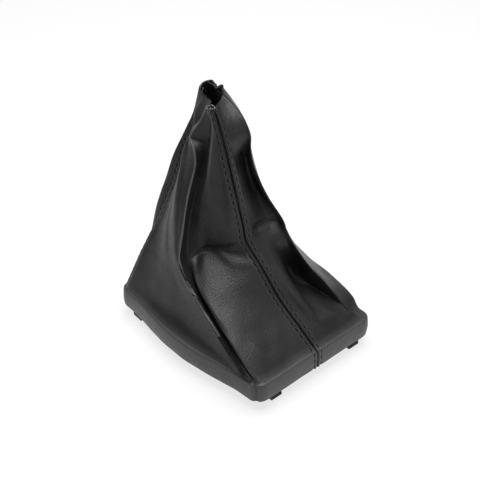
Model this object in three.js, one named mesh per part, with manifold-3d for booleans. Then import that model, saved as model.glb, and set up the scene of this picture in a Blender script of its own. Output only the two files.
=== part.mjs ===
import * as THREE from 'three';
import { mergeVertices } from 'three/addons/utils/BufferGeometryUtils.js';
import Module from 'manifold-3d';

// gear lever gaiter, mm, +Z up: X across the car, Y towards its front, origin at the middle of the
// base with z = 0 under the four clips

// driving sizes
const frameWidth = 112;
const frameLength = 150;
const sideBow = 7;
const cornerRadius = 9;
const leastCornerRadius = 2.5;
const clipDrop = 8;
const bandHeight = 13.3;
const bandBulge = 0.5;
const hemRound = 1;
const shoulderInset = 1.6;
const shoulderRise = 1.6;
const gaiterHeight = 171.8;
const leather = 1.3;
const hemWidth = 4.5;
const seamGap = 0.5;
const fitGap = 0.3;
const railWidth = 11;
const railChamfer = 0.6;
const railSlope = 2.2;
const clipWidth = 9;
const clipThick = 3;
const clipInset = 6.4;
const hookReach = 3;
const hookHeight = 3.4;

const shoulderHeight = clipDrop + bandHeight + shoulderRise;

// half outline of the base, as pieces that keep their share of the way round at every inset
const halfWidth = frameWidth / 2;
const halfLength = frameLength / 2;
const sideLength = frameLength - 2 * cornerRadius;
const endLength = halfWidth - cornerRadius;
const arcLength = cornerRadius * Math.PI / 2;
const halfWay = 2 * endLength + 2 * arcLength + sideLength;

function halfOutline(way, inset) {
  const r = Math.max(cornerRadius - inset, leastCornerRadius);
  const ax = halfWidth - inset;
  const ay = halfLength - inset;
  let rest = way * halfWay;
  if (rest < endLength) return [-(ax - r) * rest / endLength, -ay];
  rest -= endLength;
  if (rest < arcLength) {
    const turn = rest / cornerRadius;
    return [-(ax - r) - r * Math.sin(turn), -(ay - r) - r * Math.cos(turn)];
  }
  rest -= arcLength;
  if (rest < sideLength) {
    const q = 2 * rest / sideLength - 1;
    return [-ax - sideBow * (1 - q * q) ** 2, (ay - r) * q];
  }
  rest -= sideLength;
  if (rest < arcLength) {
    const turn = rest / cornerRadius;
    return [-(ax - r) - r * Math.cos(turn), ay - r + r * Math.sin(turn)];
  }
  rest -= arcLength;
  return [-(ax - r) * (1 - Math.min(rest / endLength, 1)), ay];
}

// station 0 is the middle of the rear end, 0.5 the middle of the front end, by way of the left side
function outline(station, inset = 0) {
  const s = ((station % 1) + 1) % 1;
  if (s <= 0.5) return halfOutline(2 * s, inset);
  const [x, y] = halfOutline(2 * (1 - s), inset);
  return [-x, y];
}

// fold lines of the hanging leather, drawn for a base of 112 x 150, a shoulder at 21 and a rim at 170:
// station on the base, roundness across the line, then points x, y, z from the shoulder up to the rim
const drawnHalfWidth = 56;
const drawnHalfLength = 75;
const drawnShoulder = 21;
const drawnRim = 170;
const foldLines = {
  rearSeam: [0, 0.8, [-1.4, -59.5, 32.5], [-3.3, -39.5, 48], [-4.8, -22.5, 67.5], [-5.8, -12, 77.5],
    [-6.2, -8, 83.5], [-6.2, -7, 89], [-6.6, -2.5, 106], [-7.2, 3.8, 127], [-7.7, 9.4, 146.5],
    [-6.8, 20.3, 171]],
  rib: [0.035, 1, [-17, -58, 31.5], [-18.5, -40, 44.5], [-19.5, -22, 60.5], [-19.3, -9.5, 69],
    [-18.6, 0.8, 74.4], [-17.5, -0.8, 78], [-16.7, -2.8, 83], [-16, -3.2, 93], [-15, -1, 104],
    [-13.8, 4.5, 119], [-12.5, 9, 133], [-11.2, 13, 146], [-10, 17, 158], [-9.2, 22, 170.5]],
  rampRoll: [0.06, 1, [-36, -60, 31.5], [-41, -44, 41], [-42, -27, 50], [-39, -12, 58.5], [-33, 0.5, 65],
    [-22.7, 10.4, 71.6], [-21.4, 9, 75.8], [-20.6, 7.2, 83.5], [-18.5, 9, 104], [-17, 13, 118],
    [-14.5, 15, 132], [-12, 16.8, 146], [-9.8, 19.5, 158], [-9, 24, 170.3]],
  rampEdge: [0.088, 1, [-51.6, -66, 25.5], [-52, -56, 32], [-51.3, -45, 38.5], [-50.5, -33, 44],
    [-48.3, -19, 51.5], [-44.5, -4, 57.5], [-39, 6, 61.5], [-30.5, 15, 67.6], [-26.3, 16, 74],
    [-24, 16.8, 84], [-22, 18.5, 98], [-19, 20, 110], [-15.2, 20, 126], [-12.2, 20.7, 140],
    [-9.7, 21.1, 152], [-8, 22.3, 160], [-6.2, 25.3, 170]],
  valley: [0.105, 0.4, [-54, -67, 23], [-53, -56, 28], [-51, -42, 34], [-47.5, -28, 40], [-44, -12, 46],
    [-40, 5.8, 55.2], [-36, 18, 66.5], [-29, 25, 84], [-22.2, 27.3, 101.5], [-15.2, 28.9, 115.6],
    [-11.2, 30.2, 121.5], [-7.6, 31.2, 128], [-4.2, 32.4, 137], [-2.2, 32.2, 147], [-3, 30.2, 159],
    [-4.4, 27.1, 169]],
  overlap: [0.122, 0.15, [-57, -62, 26], [-56.5, -53, 32], [-55.7, -42.2, 37.5], [-54.4, -29.6, 45.5],
    [-52.2, -12.8, 53.6], [-48.4, 6.1, 63], [-44.9, 15.8, 72.3], [-37, 21, 88.7], [-25.2, 28.1, 110],
    [-18.9, 30.5, 120.5], [-15.6, 31.4, 127.5], [-13.4, 34.2, 134], [-11.4, 38.5, 138.5],
    [-9.2, 44, 142], [-6, 36.7, 156.5], [-4.4, 31.2, 169.5]],
  lap: [0.15, 1, [-54.6, -46, 25], [-54.3, -38, 33], [-51.6, -12, 52], [-45.8, 16, 71], [-36, 28, 90],
    [-26.2, 36, 108], [-17.8, 41, 121], [-13, 43.5, 132], [-7.3, 46.1, 143], [-4.6, 44.9, 149],
    [-0.6, 39.9, 158], [0.8, 34.6, 170]],
  leftFace: [0.25, 1, [-58, 3, 24.5], [-55, 4, 28], [-52.8, 6, 32.5], [-51, 9, 38], [-47, 19, 52],
    [-42.5, 31, 66], [-34, 41, 82], [-25.5, 45, 100], [-17, 47, 118], [-12.5, 48.5, 129],
    [-8, 49.5, 137], [-5, 47.5, 143], [-2, 47, 156], [1.5, 41.5, 170]],
  leftSeam: [0.4, 0.8, [-45, 69, 36], [-38, 66, 52], [-31, 63, 66], [-23.7, 59, 82], [-16, 56, 100],
    [-9.5, 53, 118], [-5.5, 51.5, 132], [-3.5, 50, 138.5], [0, 49.5, 148], [1.5, 49.5, 156],
    [4, 48.5, 170]],
  frontBulge: [0.44, 1, [-24, 71, 52], [-23, 70, 66], [-21.5, 69.2, 77], [-18, 67.7, 90], [-14, 65, 104],
    [-11.5, 61.8, 118], [-6.5, 58.5, 132], [-1, 55.5, 145], [4, 54, 156], [8.6, 54.2, 170.6]],
  frontFace: [0.5, 1, [1, 73, 36], [2, 71, 52], [4, 69, 66], [6, 67, 82], [8, 65, 100], [9, 63, 118],
    [10, 60, 138], [12, 57, 156], [13.6, 55.2, 172]],
  frontLobe: [0.55, 1, [24, 73, 36], [22, 70, 52], [21, 67, 66], [20, 64, 82], [19.5, 61.5, 100],
    [19, 59.5, 118], [18.5, 57.5, 138], [19, 55.5, 156], [19.2, 52.9, 172.2]],
  rightSeam: [0.6, 0.8, [47, 69, 36], [41.5, 65, 52], [37, 61, 66], [33, 57.5, 82], [30, 54, 100],
    [28, 52, 118], [25.5, 50, 138], [21.5, 47.5, 156], [17.7, 45.5, 171.4]],
  rightFace: [0.75, 1, [54, 6, 36], [48, 12, 52], [43, 18, 66], [38, 23.5, 82], [34, 28, 100],
    [31.5, 30, 118], [29, 32, 138], [25.5, 37, 156], [20.8, 44.8, 171.3]],
  rightBack: [0.865, 1, [58.4, -53, 24.5], [57.6, -43, 30], [55.2, -30, 36], [51, -21.5, 41.5],
    [46.5, -14, 49], [40.8, -5.5, 60], [37.5, 2.3, 71.5], [33.2, 11.6, 89.5], [29.7, 17.5, 105],
    [28.8, 19.7, 115], [27.2, 21.2, 125.7], [24.4, 22.4, 140], [22, 26, 156], [19, 32, 165],
    [15.5, 37.5, 170.5]],
  rightRidge: [0.893, 0.85, [44.2, -62.3, 25.4], [41.3, -52.8, 34], [37, -43.5, 44.5], [32, -36.1, 53.6],
    [28, -29.7, 63.5], [24.7, -22.7, 75], [22.7, -15.4, 87.6], [18.3, -4.6, 104], [15.2, 2.3, 117.6],
    [12.9, 5.8, 129.8], [12.4, 6.9, 139.7], [12.5, 6.4, 149.3], [12.8, 11, 158], [12.8, 18.5, 164.5],
    [12.7, 27, 168.5], [12.5, 34.5, 170.5]],
  hollowSide: [0.912, 1, [42, -63, 27.5], [39.8, -50.5, 29.8], [37.2, -38.5, 32], [34, -28, 37],
    [31.5, -21.8, 46], [28, -20.4, 55], [25.8, -20.6, 61.5], [24, -20.8, 68], [21.2, -18.5, 76],
    [20.6, -15.5, 80], [21.6, -12, 83.5], [22.6, -9.5, 86.5], [22, -7.5, 90.5], [20.6, -3, 96],
    [19.1, 6.2, 105], [17.7, 10.9, 117.4], [15.1, 13.3, 129.4], [11.9, 10.8, 139.8], [10.1, 8.4, 150.8],
    [10, 11.5, 158], [10, 18, 164], [10.3, 26, 168], [10.3, 33, 170]],
  hollow: [0.93, 0.9, [31, -64, 29.5], [25.5, -58, 32.5], [25, -44, 34], [25.5, -34, 34.6],
    [27, -25, 37], [27, -18.8, 42.5], [24, -17, 52.6], [18.5, -18.5, 66], [15.3, -18, 73.5],
    [13.8, -14.6, 78.5], [15, -11, 81.3], [16.6, -8, 83.7], [17.4, -6, 86], [16.5, -3.6, 91],
    [16.2, 3, 98.5], [15.9, 9.9, 107], [14.7, 13.7, 119.8], [11.3, 14.1, 133], [6.7, 10.1, 143],
    [4.9, 9.1, 153], [5, 12.5, 158], [5.7, 18, 163], [6.8, 24.5, 167], [7.5, 31, 170]],
  rampRight: [0.968, 0.9, [12, -61, 33.5], [9.5, -50, 44.5], [8, -38, 54.5], [8, -26, 66],
    [7.3, -18.5, 74.5], [6.6, -13, 79.5], [7, -8, 84], [7.6, -5.9, 86.2], [6.8, -5.5, 89.5],
    [5, -2.8, 99], [4, 1.5, 110], [3.3, 6, 122], [1.5, 9.5, 134], [-1.5, 9, 143.5], [-3, 9.5, 150],
    [-2.5, 13, 158], [-1.5, 20, 165], [0.8, 27, 170]],
  seamStrip: [0.985, 1, [5.5, -60, 33], [3, -44, 47], [1.5, -30, 60.5], [0.5, -18, 73],
    [-0.5, -11.5, 81.5], [-1.5, -9, 86], [-2, -5.5, 98], [-2.7, -2, 110], [-4, 2, 127], [-5, 7, 145],
    [-5.3, 11.5, 156], [-4, 18.5, 167], [-2.4, 22.6, 170.5]],
};

const shareAt = (z) => (z - drawnShoulder) / (drawnRim - drawnShoulder);
const heightOf = (z) => shoulderHeight + (gaiterHeight - shoulderHeight) * shareAt(z);

// slopes on both sides of each knot: overshoot is held down, and a low roundness keeps a crease
function knotSlopes(knots, values, roundness) {
  const rise = values.slice(1).map((v, i) => (v - values[i]) / (knots[i + 1] - knots[i]));
  return values.map((v, i) => {
    if (i === 0) return [rise[0], rise[0]];
    if (i === values.length - 1) return [rise.at(-1), rise.at(-1)];
    const [a, b] = [rise[i - 1], rise[i]];
    const h0 = knots[i] - knots[i - 1];
    const h1 = knots[i + 1] - knots[i];
    const held = a * b > 0 ? 3 * (h0 + h1) / ((2 * h1 + h0) / a + (h1 + 2 * h0) / b) : 0;
    const smooth = 0.6 * held + 0.4 * (a * h0 + b * h1) / (h0 + h1);
    const round = roundness[i];
    return [round * smooth + (1 - round) * a, round * smooth + (1 - round) * b];
  });
}

function curveThrough(knots, values, roundness = knots.map(() => 1)) {
  const slopes = knotSlopes(knots, values, roundness);
  return (at) => {
    let i = 0;
    while (i < knots.length - 2 && at >= knots[i + 1]) i += 1;
    const w = knots[i + 1] - knots[i];
    const s = Math.min(Math.max((at - knots[i]) / w, 0), 1);
    return (2 * s ** 3 - 3 * s ** 2 + 1) * values[i] + (s ** 3 - 2 * s ** 2 + s) * w * slopes[i][1]
      + (3 * s ** 2 - 2 * s ** 3) * values[i + 1] + (s ** 3 - s ** 2) * w * slopes[i + 1][0];
  };
}

const shoulderPoint = (station) => [...outline(station, shoulderInset), shoulderHeight];
const mix = (a, b, w) => a.map((v, k) => v * (1 - w) + b[k] * w);

const lines = Object.values(foldLines).map(([station, round, ...points]) => {
  const foot = shoulderPoint(station);
  const places = points.map(([x, y, z]) => [
    x * halfWidth / drawnHalfWidth, y * halfLength / drawnHalfLength, heightOf(z)]);
  const top = places.at(-1);
  const shares = [0, ...points.slice(0, -1).map(([, , z]) => shareAt(z)), 1];
  const run = [0, 1, 2].map((k) => curveThrough(shares, [foot, ...places].map((p) => p[k])));
  return { station, round, top, strayAt: (t) => run.map((f, k) => f(t) - mix(foot, top, t)[k]) };
});

const around = [
  ...lines.slice(-3).map((line) => [line.station - 1, line]),
  ...lines.map((line) => [line.station, line]),
  ...lines.slice(0, 3).map((line) => [line.station + 1, line]),
];
const aroundStations = around.map(([station]) => station);
const aroundRounds = around.map(([, line]) => line.round);
const rimCurve = [0, 1, 2].map((k) => curveThrough(aroundStations, around.map(([, l]) => l.top[k])));

// row of the skirt at share t of the way up: straight lines from shoulder to rim plus the folds
function skirtRow(t) {
  const strays = around.map(([, line]) => line.strayAt(t));
  const fold = [0, 1, 2].map((k) => curveThrough(aroundStations, strays.map((v) => v[k]), aroundRounds));
  return (station) => {
    const s = ((station % 1) + 1) % 1;
    const straight = mix(shoulderPoint(s), rimCurve.map((f) => f(s)), t);
    return straight.map((v, k) => v + fold[k](s));
  };
}

// columns: each span between two fold lines is cut into its own number of strips, and the three
// seams have a column on each side of their gap
const spans = [
  [0, 0.035, 3], [0.035, 0.06, 2], [0.06, 0.088, 3], [0.088, 0.105, 3], [0.105, 0.122, 3],
  [0.122, 0.15, 3], [0.15, 0.25, 4], [0.25, 0.382, 4], [0.382, 0.4, 2], [0.4, 0.418, 2],
  [0.418, 0.44, 1], [0.44, 0.5, 3], [0.5, 0.55, 2], [0.55, 0.582, 1], [0.582, 0.6, 2],
  [0.6, 0.618, 2], [0.618, 0.75, 4], [0.75, 0.865, 4], [0.865, 0.893, 3], [0.893, 0.912, 3],
  [0.912, 0.93, 3], [0.93, 0.968, 4], [0.968, 0.985, 2], [0.985, 1, 2],
];
const seams = [0, 0.4, 0.6];
const columns = [];
for (const [from, to, strips] of spans) {
  for (let i = 0; i < strips; i += 1) {
    const station = from + (to - from) * i / strips;
    const seam = seams.indexOf(station);
    if (seam < 0) columns.push({ station, shift: 0 });
    else for (const side of [-1, 1]) columns.push({ station, shift: side * seamGap / 2, seam, side });
  }
}

// rows: hem under the frame, band round it, then the skirt
const bandRows = [
  { inset: hemWidth + leather, z: clipDrop },
  { inset: hemRound, z: clipDrop },
  { inset: 0, z: clipDrop + hemRound },
  { inset: -bandBulge, z: clipDrop + bandHeight / 2 },
  { inset: 0, z: clipDrop + bandHeight },
];
const skirtShares = [
  21, 26, 31, 36, 41, 47, 53, 59, 65, 70, 74, 77.5, 80.5, 83.5, 86.5, 90, 95, 101, 108, 115, 121, 127,
  132.5, 137.5, 142.5, 148, 154, 160, 165, 170,
].map(shareAt);

function shifted(place, { station, shift }) {
  const here = place(station);
  if (!shift) return here;
  const ahead = place(station + 0.002);
  const behind = place(station - 0.002);
  const step = ahead.map((v, k) => v - behind[k]);
  const size = Math.hypot(...step);
  return here.map((v, k) => v + step[k] / size * shift);
}

const rows = [
  ...bandRows.map(({ inset, z }) => (station) => [...outline(station, inset), z]),
  ...skirtShares.map((t) => skirtRow(t)),
];
const outer = rows.map((row) => columns.map((column) => new THREE.Vector3(...shifted(row, column))));

// inner face one leather thickness inside, mitred where the sheet bends
function innerOf(grid) {
  const n = columns.length;
  const faceNormal = (i, j) => {
    const a = grid[i][j % n];
    const b = grid[i][(j + 1) % n];
    const c = grid[i + 1][(j + 1) % n];
    const d = grid[i + 1][j % n];
    const cross = new THREE.Vector3().subVectors(c, a).cross(new THREE.Vector3().subVectors(d, b));
    return cross.normalize();
  };
  const normals = grid.slice(0, -1).map((row, i) => row.map((p, j) => faceNormal(i, j)));
  return grid.map((row, i) => row.map((p, j) => {
    const before = columns[j].side === 1 ? j - 2 : j - 1;
    const after = columns[j].side === -1 ? j + 1 : j;
    const near = [normals[i - 1], normals[i]].filter(Boolean)
      .flatMap((strip) => [strip[(before + n) % n].clone(), strip[after % n].clone()]);
    const mean = near.reduce((sum, v) => sum.add(v), new THREE.Vector3()).normalize();
    const lean = Math.min(...near.map((v) => v.dot(mean)));
    return p.clone().addScaledVector(mean, leather / Math.max(lean, 0.66));
  }));
}
const inner = innerOf(outer);

function closedMesh(name, slot, points, triangles, colour, roughness) {
  const geometry = new THREE.BufferGeometry();
  const flat = points.flatMap((p) => [p.x, p.y, p.z]);
  geometry.setAttribute('position', new THREE.Float32BufferAttribute(flat, 3));
  geometry.setIndex(triangles);
  geometry.computeVertexNormals();
  const material = new THREE.MeshStandardMaterial({ color: colour, roughness, metalness: 0 });
  material.name = slot;
  const mesh = new THREE.Mesh(geometry, material);
  mesh.name = name;
  return mesh;
}

// one leather panel: the columns from a seam to the next, outer and inner face and all four edges
function panel(name, slot, fromSeam, toSeam) {
  const n = columns.length;
  const first = columns.findIndex((c) => c.seam === fromSeam && c.side === 1);
  const picked = [];
  for (let j = first; ; j = (j + 1) % n) {
    picked.push(j);
    if (columns[j].seam === toSeam && columns[j].side === -1) break;
  }
  const points = [];
  const at = (face, i, k) => (face * outer.length + i) * picked.length + k;
  for (const grid of [outer, inner]) for (const row of grid) for (const j of picked) points.push(row[j]);
  const triangles = [];
  const quad = (a, b, c, d) => triangles.push(a, b, c, a, c, d);
  const lastRow = outer.length - 1;
  const lastColumn = picked.length - 1;
  for (let i = 0; i < lastRow; i += 1) {
    for (let k = 0; k < lastColumn; k += 1) {
      quad(at(0, i, k), at(0, i + 1, k), at(0, i + 1, k + 1), at(0, i, k + 1));
      quad(at(1, i, k), at(1, i, k + 1), at(1, i + 1, k + 1), at(1, i + 1, k));
    }
    quad(at(0, i, 0), at(1, i, 0), at(1, i + 1, 0), at(0, i + 1, 0));
    quad(at(0, i, lastColumn), at(0, i + 1, lastColumn), at(1, i + 1, lastColumn), at(1, i, lastColumn));
  }
  for (let k = 0; k < lastColumn; k += 1) {
    quad(at(0, 0, k), at(0, 0, k + 1), at(1, 0, k + 1), at(1, 0, k));
    quad(at(0, lastRow, k), at(1, lastRow, k), at(1, lastRow, k + 1), at(0, lastRow, k + 1));
  }
  return closedMesh(name, slot, points, triangles, 0x1c1c1d, 0.62);
}

// frame: a flat plastic ring inside the band, cut from the same columns so that it stays parallel
const frameOuter = leather + fitGap;
const frameBottom = clipDrop + leather + fitGap;
const frameTop = clipDrop + bandHeight - leather - fitGap;
const corners = [
  [frameOuter + railChamfer, frameBottom], [frameOuter, frameBottom + railChamfer],
  [frameOuter, frameTop - railSlope], [frameOuter + railSlope, frameTop],
  [frameOuter + railWidth, frameTop], [frameOuter + railWidth, frameBottom],
];

const wasm = await Module();
wasm.setup();
const { Manifold, Mesh } = wasm;

const solidOf = (points, triangles) => new Manifold(new Mesh({
  numProp: 3, vertProperties: new Float32Array(points), triVerts: new Uint32Array(triangles) }));

function ringSolid() {
  const stations = columns.filter((c) => c.side !== -1).map((c) => c.station);
  const n = stations.length;
  const count = corners.length;
  const points = stations.flatMap((s) => corners.flatMap(([inset, z]) => [...outline(s, inset), z]));
  const triangles = [];
  for (let j = 0; j < n; j += 1) {
    const next = (j + 1) % n;
    for (let k = 0; k < count; k += 1) {
      const up = (k + 1) % count;
      triangles.push(j * count + k, j * count + up, next * count + up);
      triangles.push(j * count + k, next * count + up, next * count + k);
    }
  }
  return solidOf(points, triangles);
}

// clip: a stem that hangs from the frame, with a rounded hook that points outwards at its foot
function clipSolid(station) {
  const [x, y] = outline(station, clipInset);
  const [xa, ya] = outline(station + 0.004, clipInset);
  const [xb, yb] = outline(station - 0.004, clipInset);
  const round = 1;
  const side = new THREE.Shape();
  side.moveTo(clipThick, frameBottom + 1);
  side.lineTo(0, frameBottom + 1);
  side.lineTo(0, hookHeight + 1);
  side.lineTo(round - hookReach, hookHeight);
  side.absarc(round - hookReach, hookHeight - round, round, Math.PI / 2, Math.PI, false);
  side.absarc(round - hookReach, round, round, Math.PI, 1.5 * Math.PI, false);
  side.absarc(clipThick - round, round, round, 1.5 * Math.PI, 2 * Math.PI, false);
  const shape = new THREE.ExtrudeGeometry(side, { depth: clipWidth, bevelEnabled: false, curveSegments: 3 });
  shape.translate(0, 0, -clipWidth / 2);
  shape.rotateX(Math.PI / 2);
  shape.rotateZ(Math.atan2(xb - xa, ya - yb));
  shape.translate(x, y, 0);
  shape.deleteAttribute('normal');
  shape.deleteAttribute('uv');
  const merged = mergeVertices(shape);
  return solidOf(merged.attributes.position.array, merged.index.array);
}

const clipStations = [0.069, 0.365, 0.635, 0.918];

function frameMesh() {
  const solid = clipStations.reduce((sum, station) => sum.add(clipSolid(station)), ringSolid());
  const mesh = solid.getMesh();
  const points = [];
  for (let i = 0; i < mesh.numVert; i += 1) {
    points.push(new THREE.Vector3(...mesh.vertProperties.slice(i * mesh.numProp, i * mesh.numProp + 3)));
  }
  return closedMesh('base_frame', 'frame_plastic', points, Array.from(mesh.triVerts), 0x131314, 0.5);
}

const group = new THREE.Group();
group.name = 'gear_lever_gaiter';
group.add(panel('left_panel', 'leather', 0, 1));
group.add(panel('front_panel', 'leather', 1, 2));
group.add(panel('right_panel', 'leather', 2, 0));
group.add(frameMesh());

export default group;
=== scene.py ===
import math
import bpy
import numpy as np
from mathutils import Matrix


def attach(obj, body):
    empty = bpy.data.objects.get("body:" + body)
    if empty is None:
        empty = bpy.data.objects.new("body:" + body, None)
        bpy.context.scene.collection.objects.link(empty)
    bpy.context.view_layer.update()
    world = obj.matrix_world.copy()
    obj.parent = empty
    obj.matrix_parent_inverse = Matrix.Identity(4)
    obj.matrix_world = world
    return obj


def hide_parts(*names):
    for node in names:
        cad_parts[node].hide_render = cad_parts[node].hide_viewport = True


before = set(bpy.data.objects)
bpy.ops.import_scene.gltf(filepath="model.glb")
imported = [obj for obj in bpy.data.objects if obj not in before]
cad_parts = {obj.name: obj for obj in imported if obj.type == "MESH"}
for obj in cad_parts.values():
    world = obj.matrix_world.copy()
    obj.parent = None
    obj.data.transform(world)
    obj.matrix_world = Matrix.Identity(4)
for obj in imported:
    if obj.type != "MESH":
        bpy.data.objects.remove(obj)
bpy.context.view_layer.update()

# gear lever gaiter: everything below is in millimetres until linkMesh turns it into metres
mm = 0.001
random = np.random.default_rng(11)

base = {"width": 112, "length": 150, "bow": 7, "corner": 9, "clipDrop": 8, "bandHeight": 13.3,
        "shoulderInset": 1.6, "shoulderRise": 1.6, "height": 171.8, "leather": 1.3, "hem": 4.5,
        "leastCorner": 2.5}
shoulderHeight = base["clipDrop"] + base["bandHeight"] + base["shoulderRise"]

# camera at the photograph's angle: it stands on a ray from the target, turned and lifted in degrees
view = {"turn": -42.52, "lift": 35.86, "distance": 735, "target": (-13.0, -10.4, 88.8),
        "lens": 81.6, "sensor": 36}


def makeCamera(s):
    turn, lift = math.radians(s["turn"]), math.radians(s["lift"])
    back = np.array([math.sin(turn) * math.cos(lift), -math.cos(turn) * math.cos(lift), math.sin(lift)])
    data = bpy.data.cameras.new("photoCamera")
    data.lens, data.sensor_width = s["lens"], s["sensor"]
    data.clip_start = 0.01
    camera = bpy.data.objects.new("photoCamera", data)
    bpy.context.scene.collection.objects.link(camera)
    camera.location = (np.array(s["target"]) + back * s["distance"]) * mm
    camera.rotation_euler = (math.pi / 2 - lift, 0, turn)
    bpy.context.scene.camera = camera


makeCamera(view)
print("stage: camera set")


# outline of the base at an inset: a straight end, an arc, a side that bows out by bow*(1-q*q)^2, an
# arc and a straight end, mirrored for the right half; station 0 is the middle of the rear end
def outline(station, inset=0.0):
    s = np.mod(station, 1.0)
    way = np.where(s <= 0.5, 2 * s, 2 - 2 * s)
    c = base["corner"]
    r = max(c - inset, base["leastCorner"])
    ax, ay = base["width"] / 2 - inset, base["length"] / 2 - inset
    end, arc, side = base["width"] / 2 - c, c * math.pi / 2, base["length"] - 2 * c
    d = way * (2 * end + 2 * arc + side)
    marks = np.cumsum([end, arc, side, arc])
    turnA, turnB = (d - marks[0]) / c, (d - marks[2]) / c
    q = 2 * (d - marks[1]) / side - 1
    last = 1 - np.clip((d - marks[3]) / end, 0, 1)
    where = [d < marks[0], d < marks[1], d < marks[2], d < marks[3]]
    bow = base["bow"] * (1 - np.clip(q, -1, 1) ** 2) ** 2
    x = np.select(where, [-(ax - r) * d / end, -(ax - r) - r * np.sin(turnA), -ax - bow,
                          -(ax - r) - r * np.cos(turnB)], -(ax - r) * last)
    y = np.select(where, [-ay + 0 * d, -(ay - r) - r * np.cos(turnA), (ay - r) * q,
                          ay - r + r * np.sin(turnB)], ay + 0 * d)
    return np.stack([np.where(s <= 0.5, x, -x), y], -1)


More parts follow.
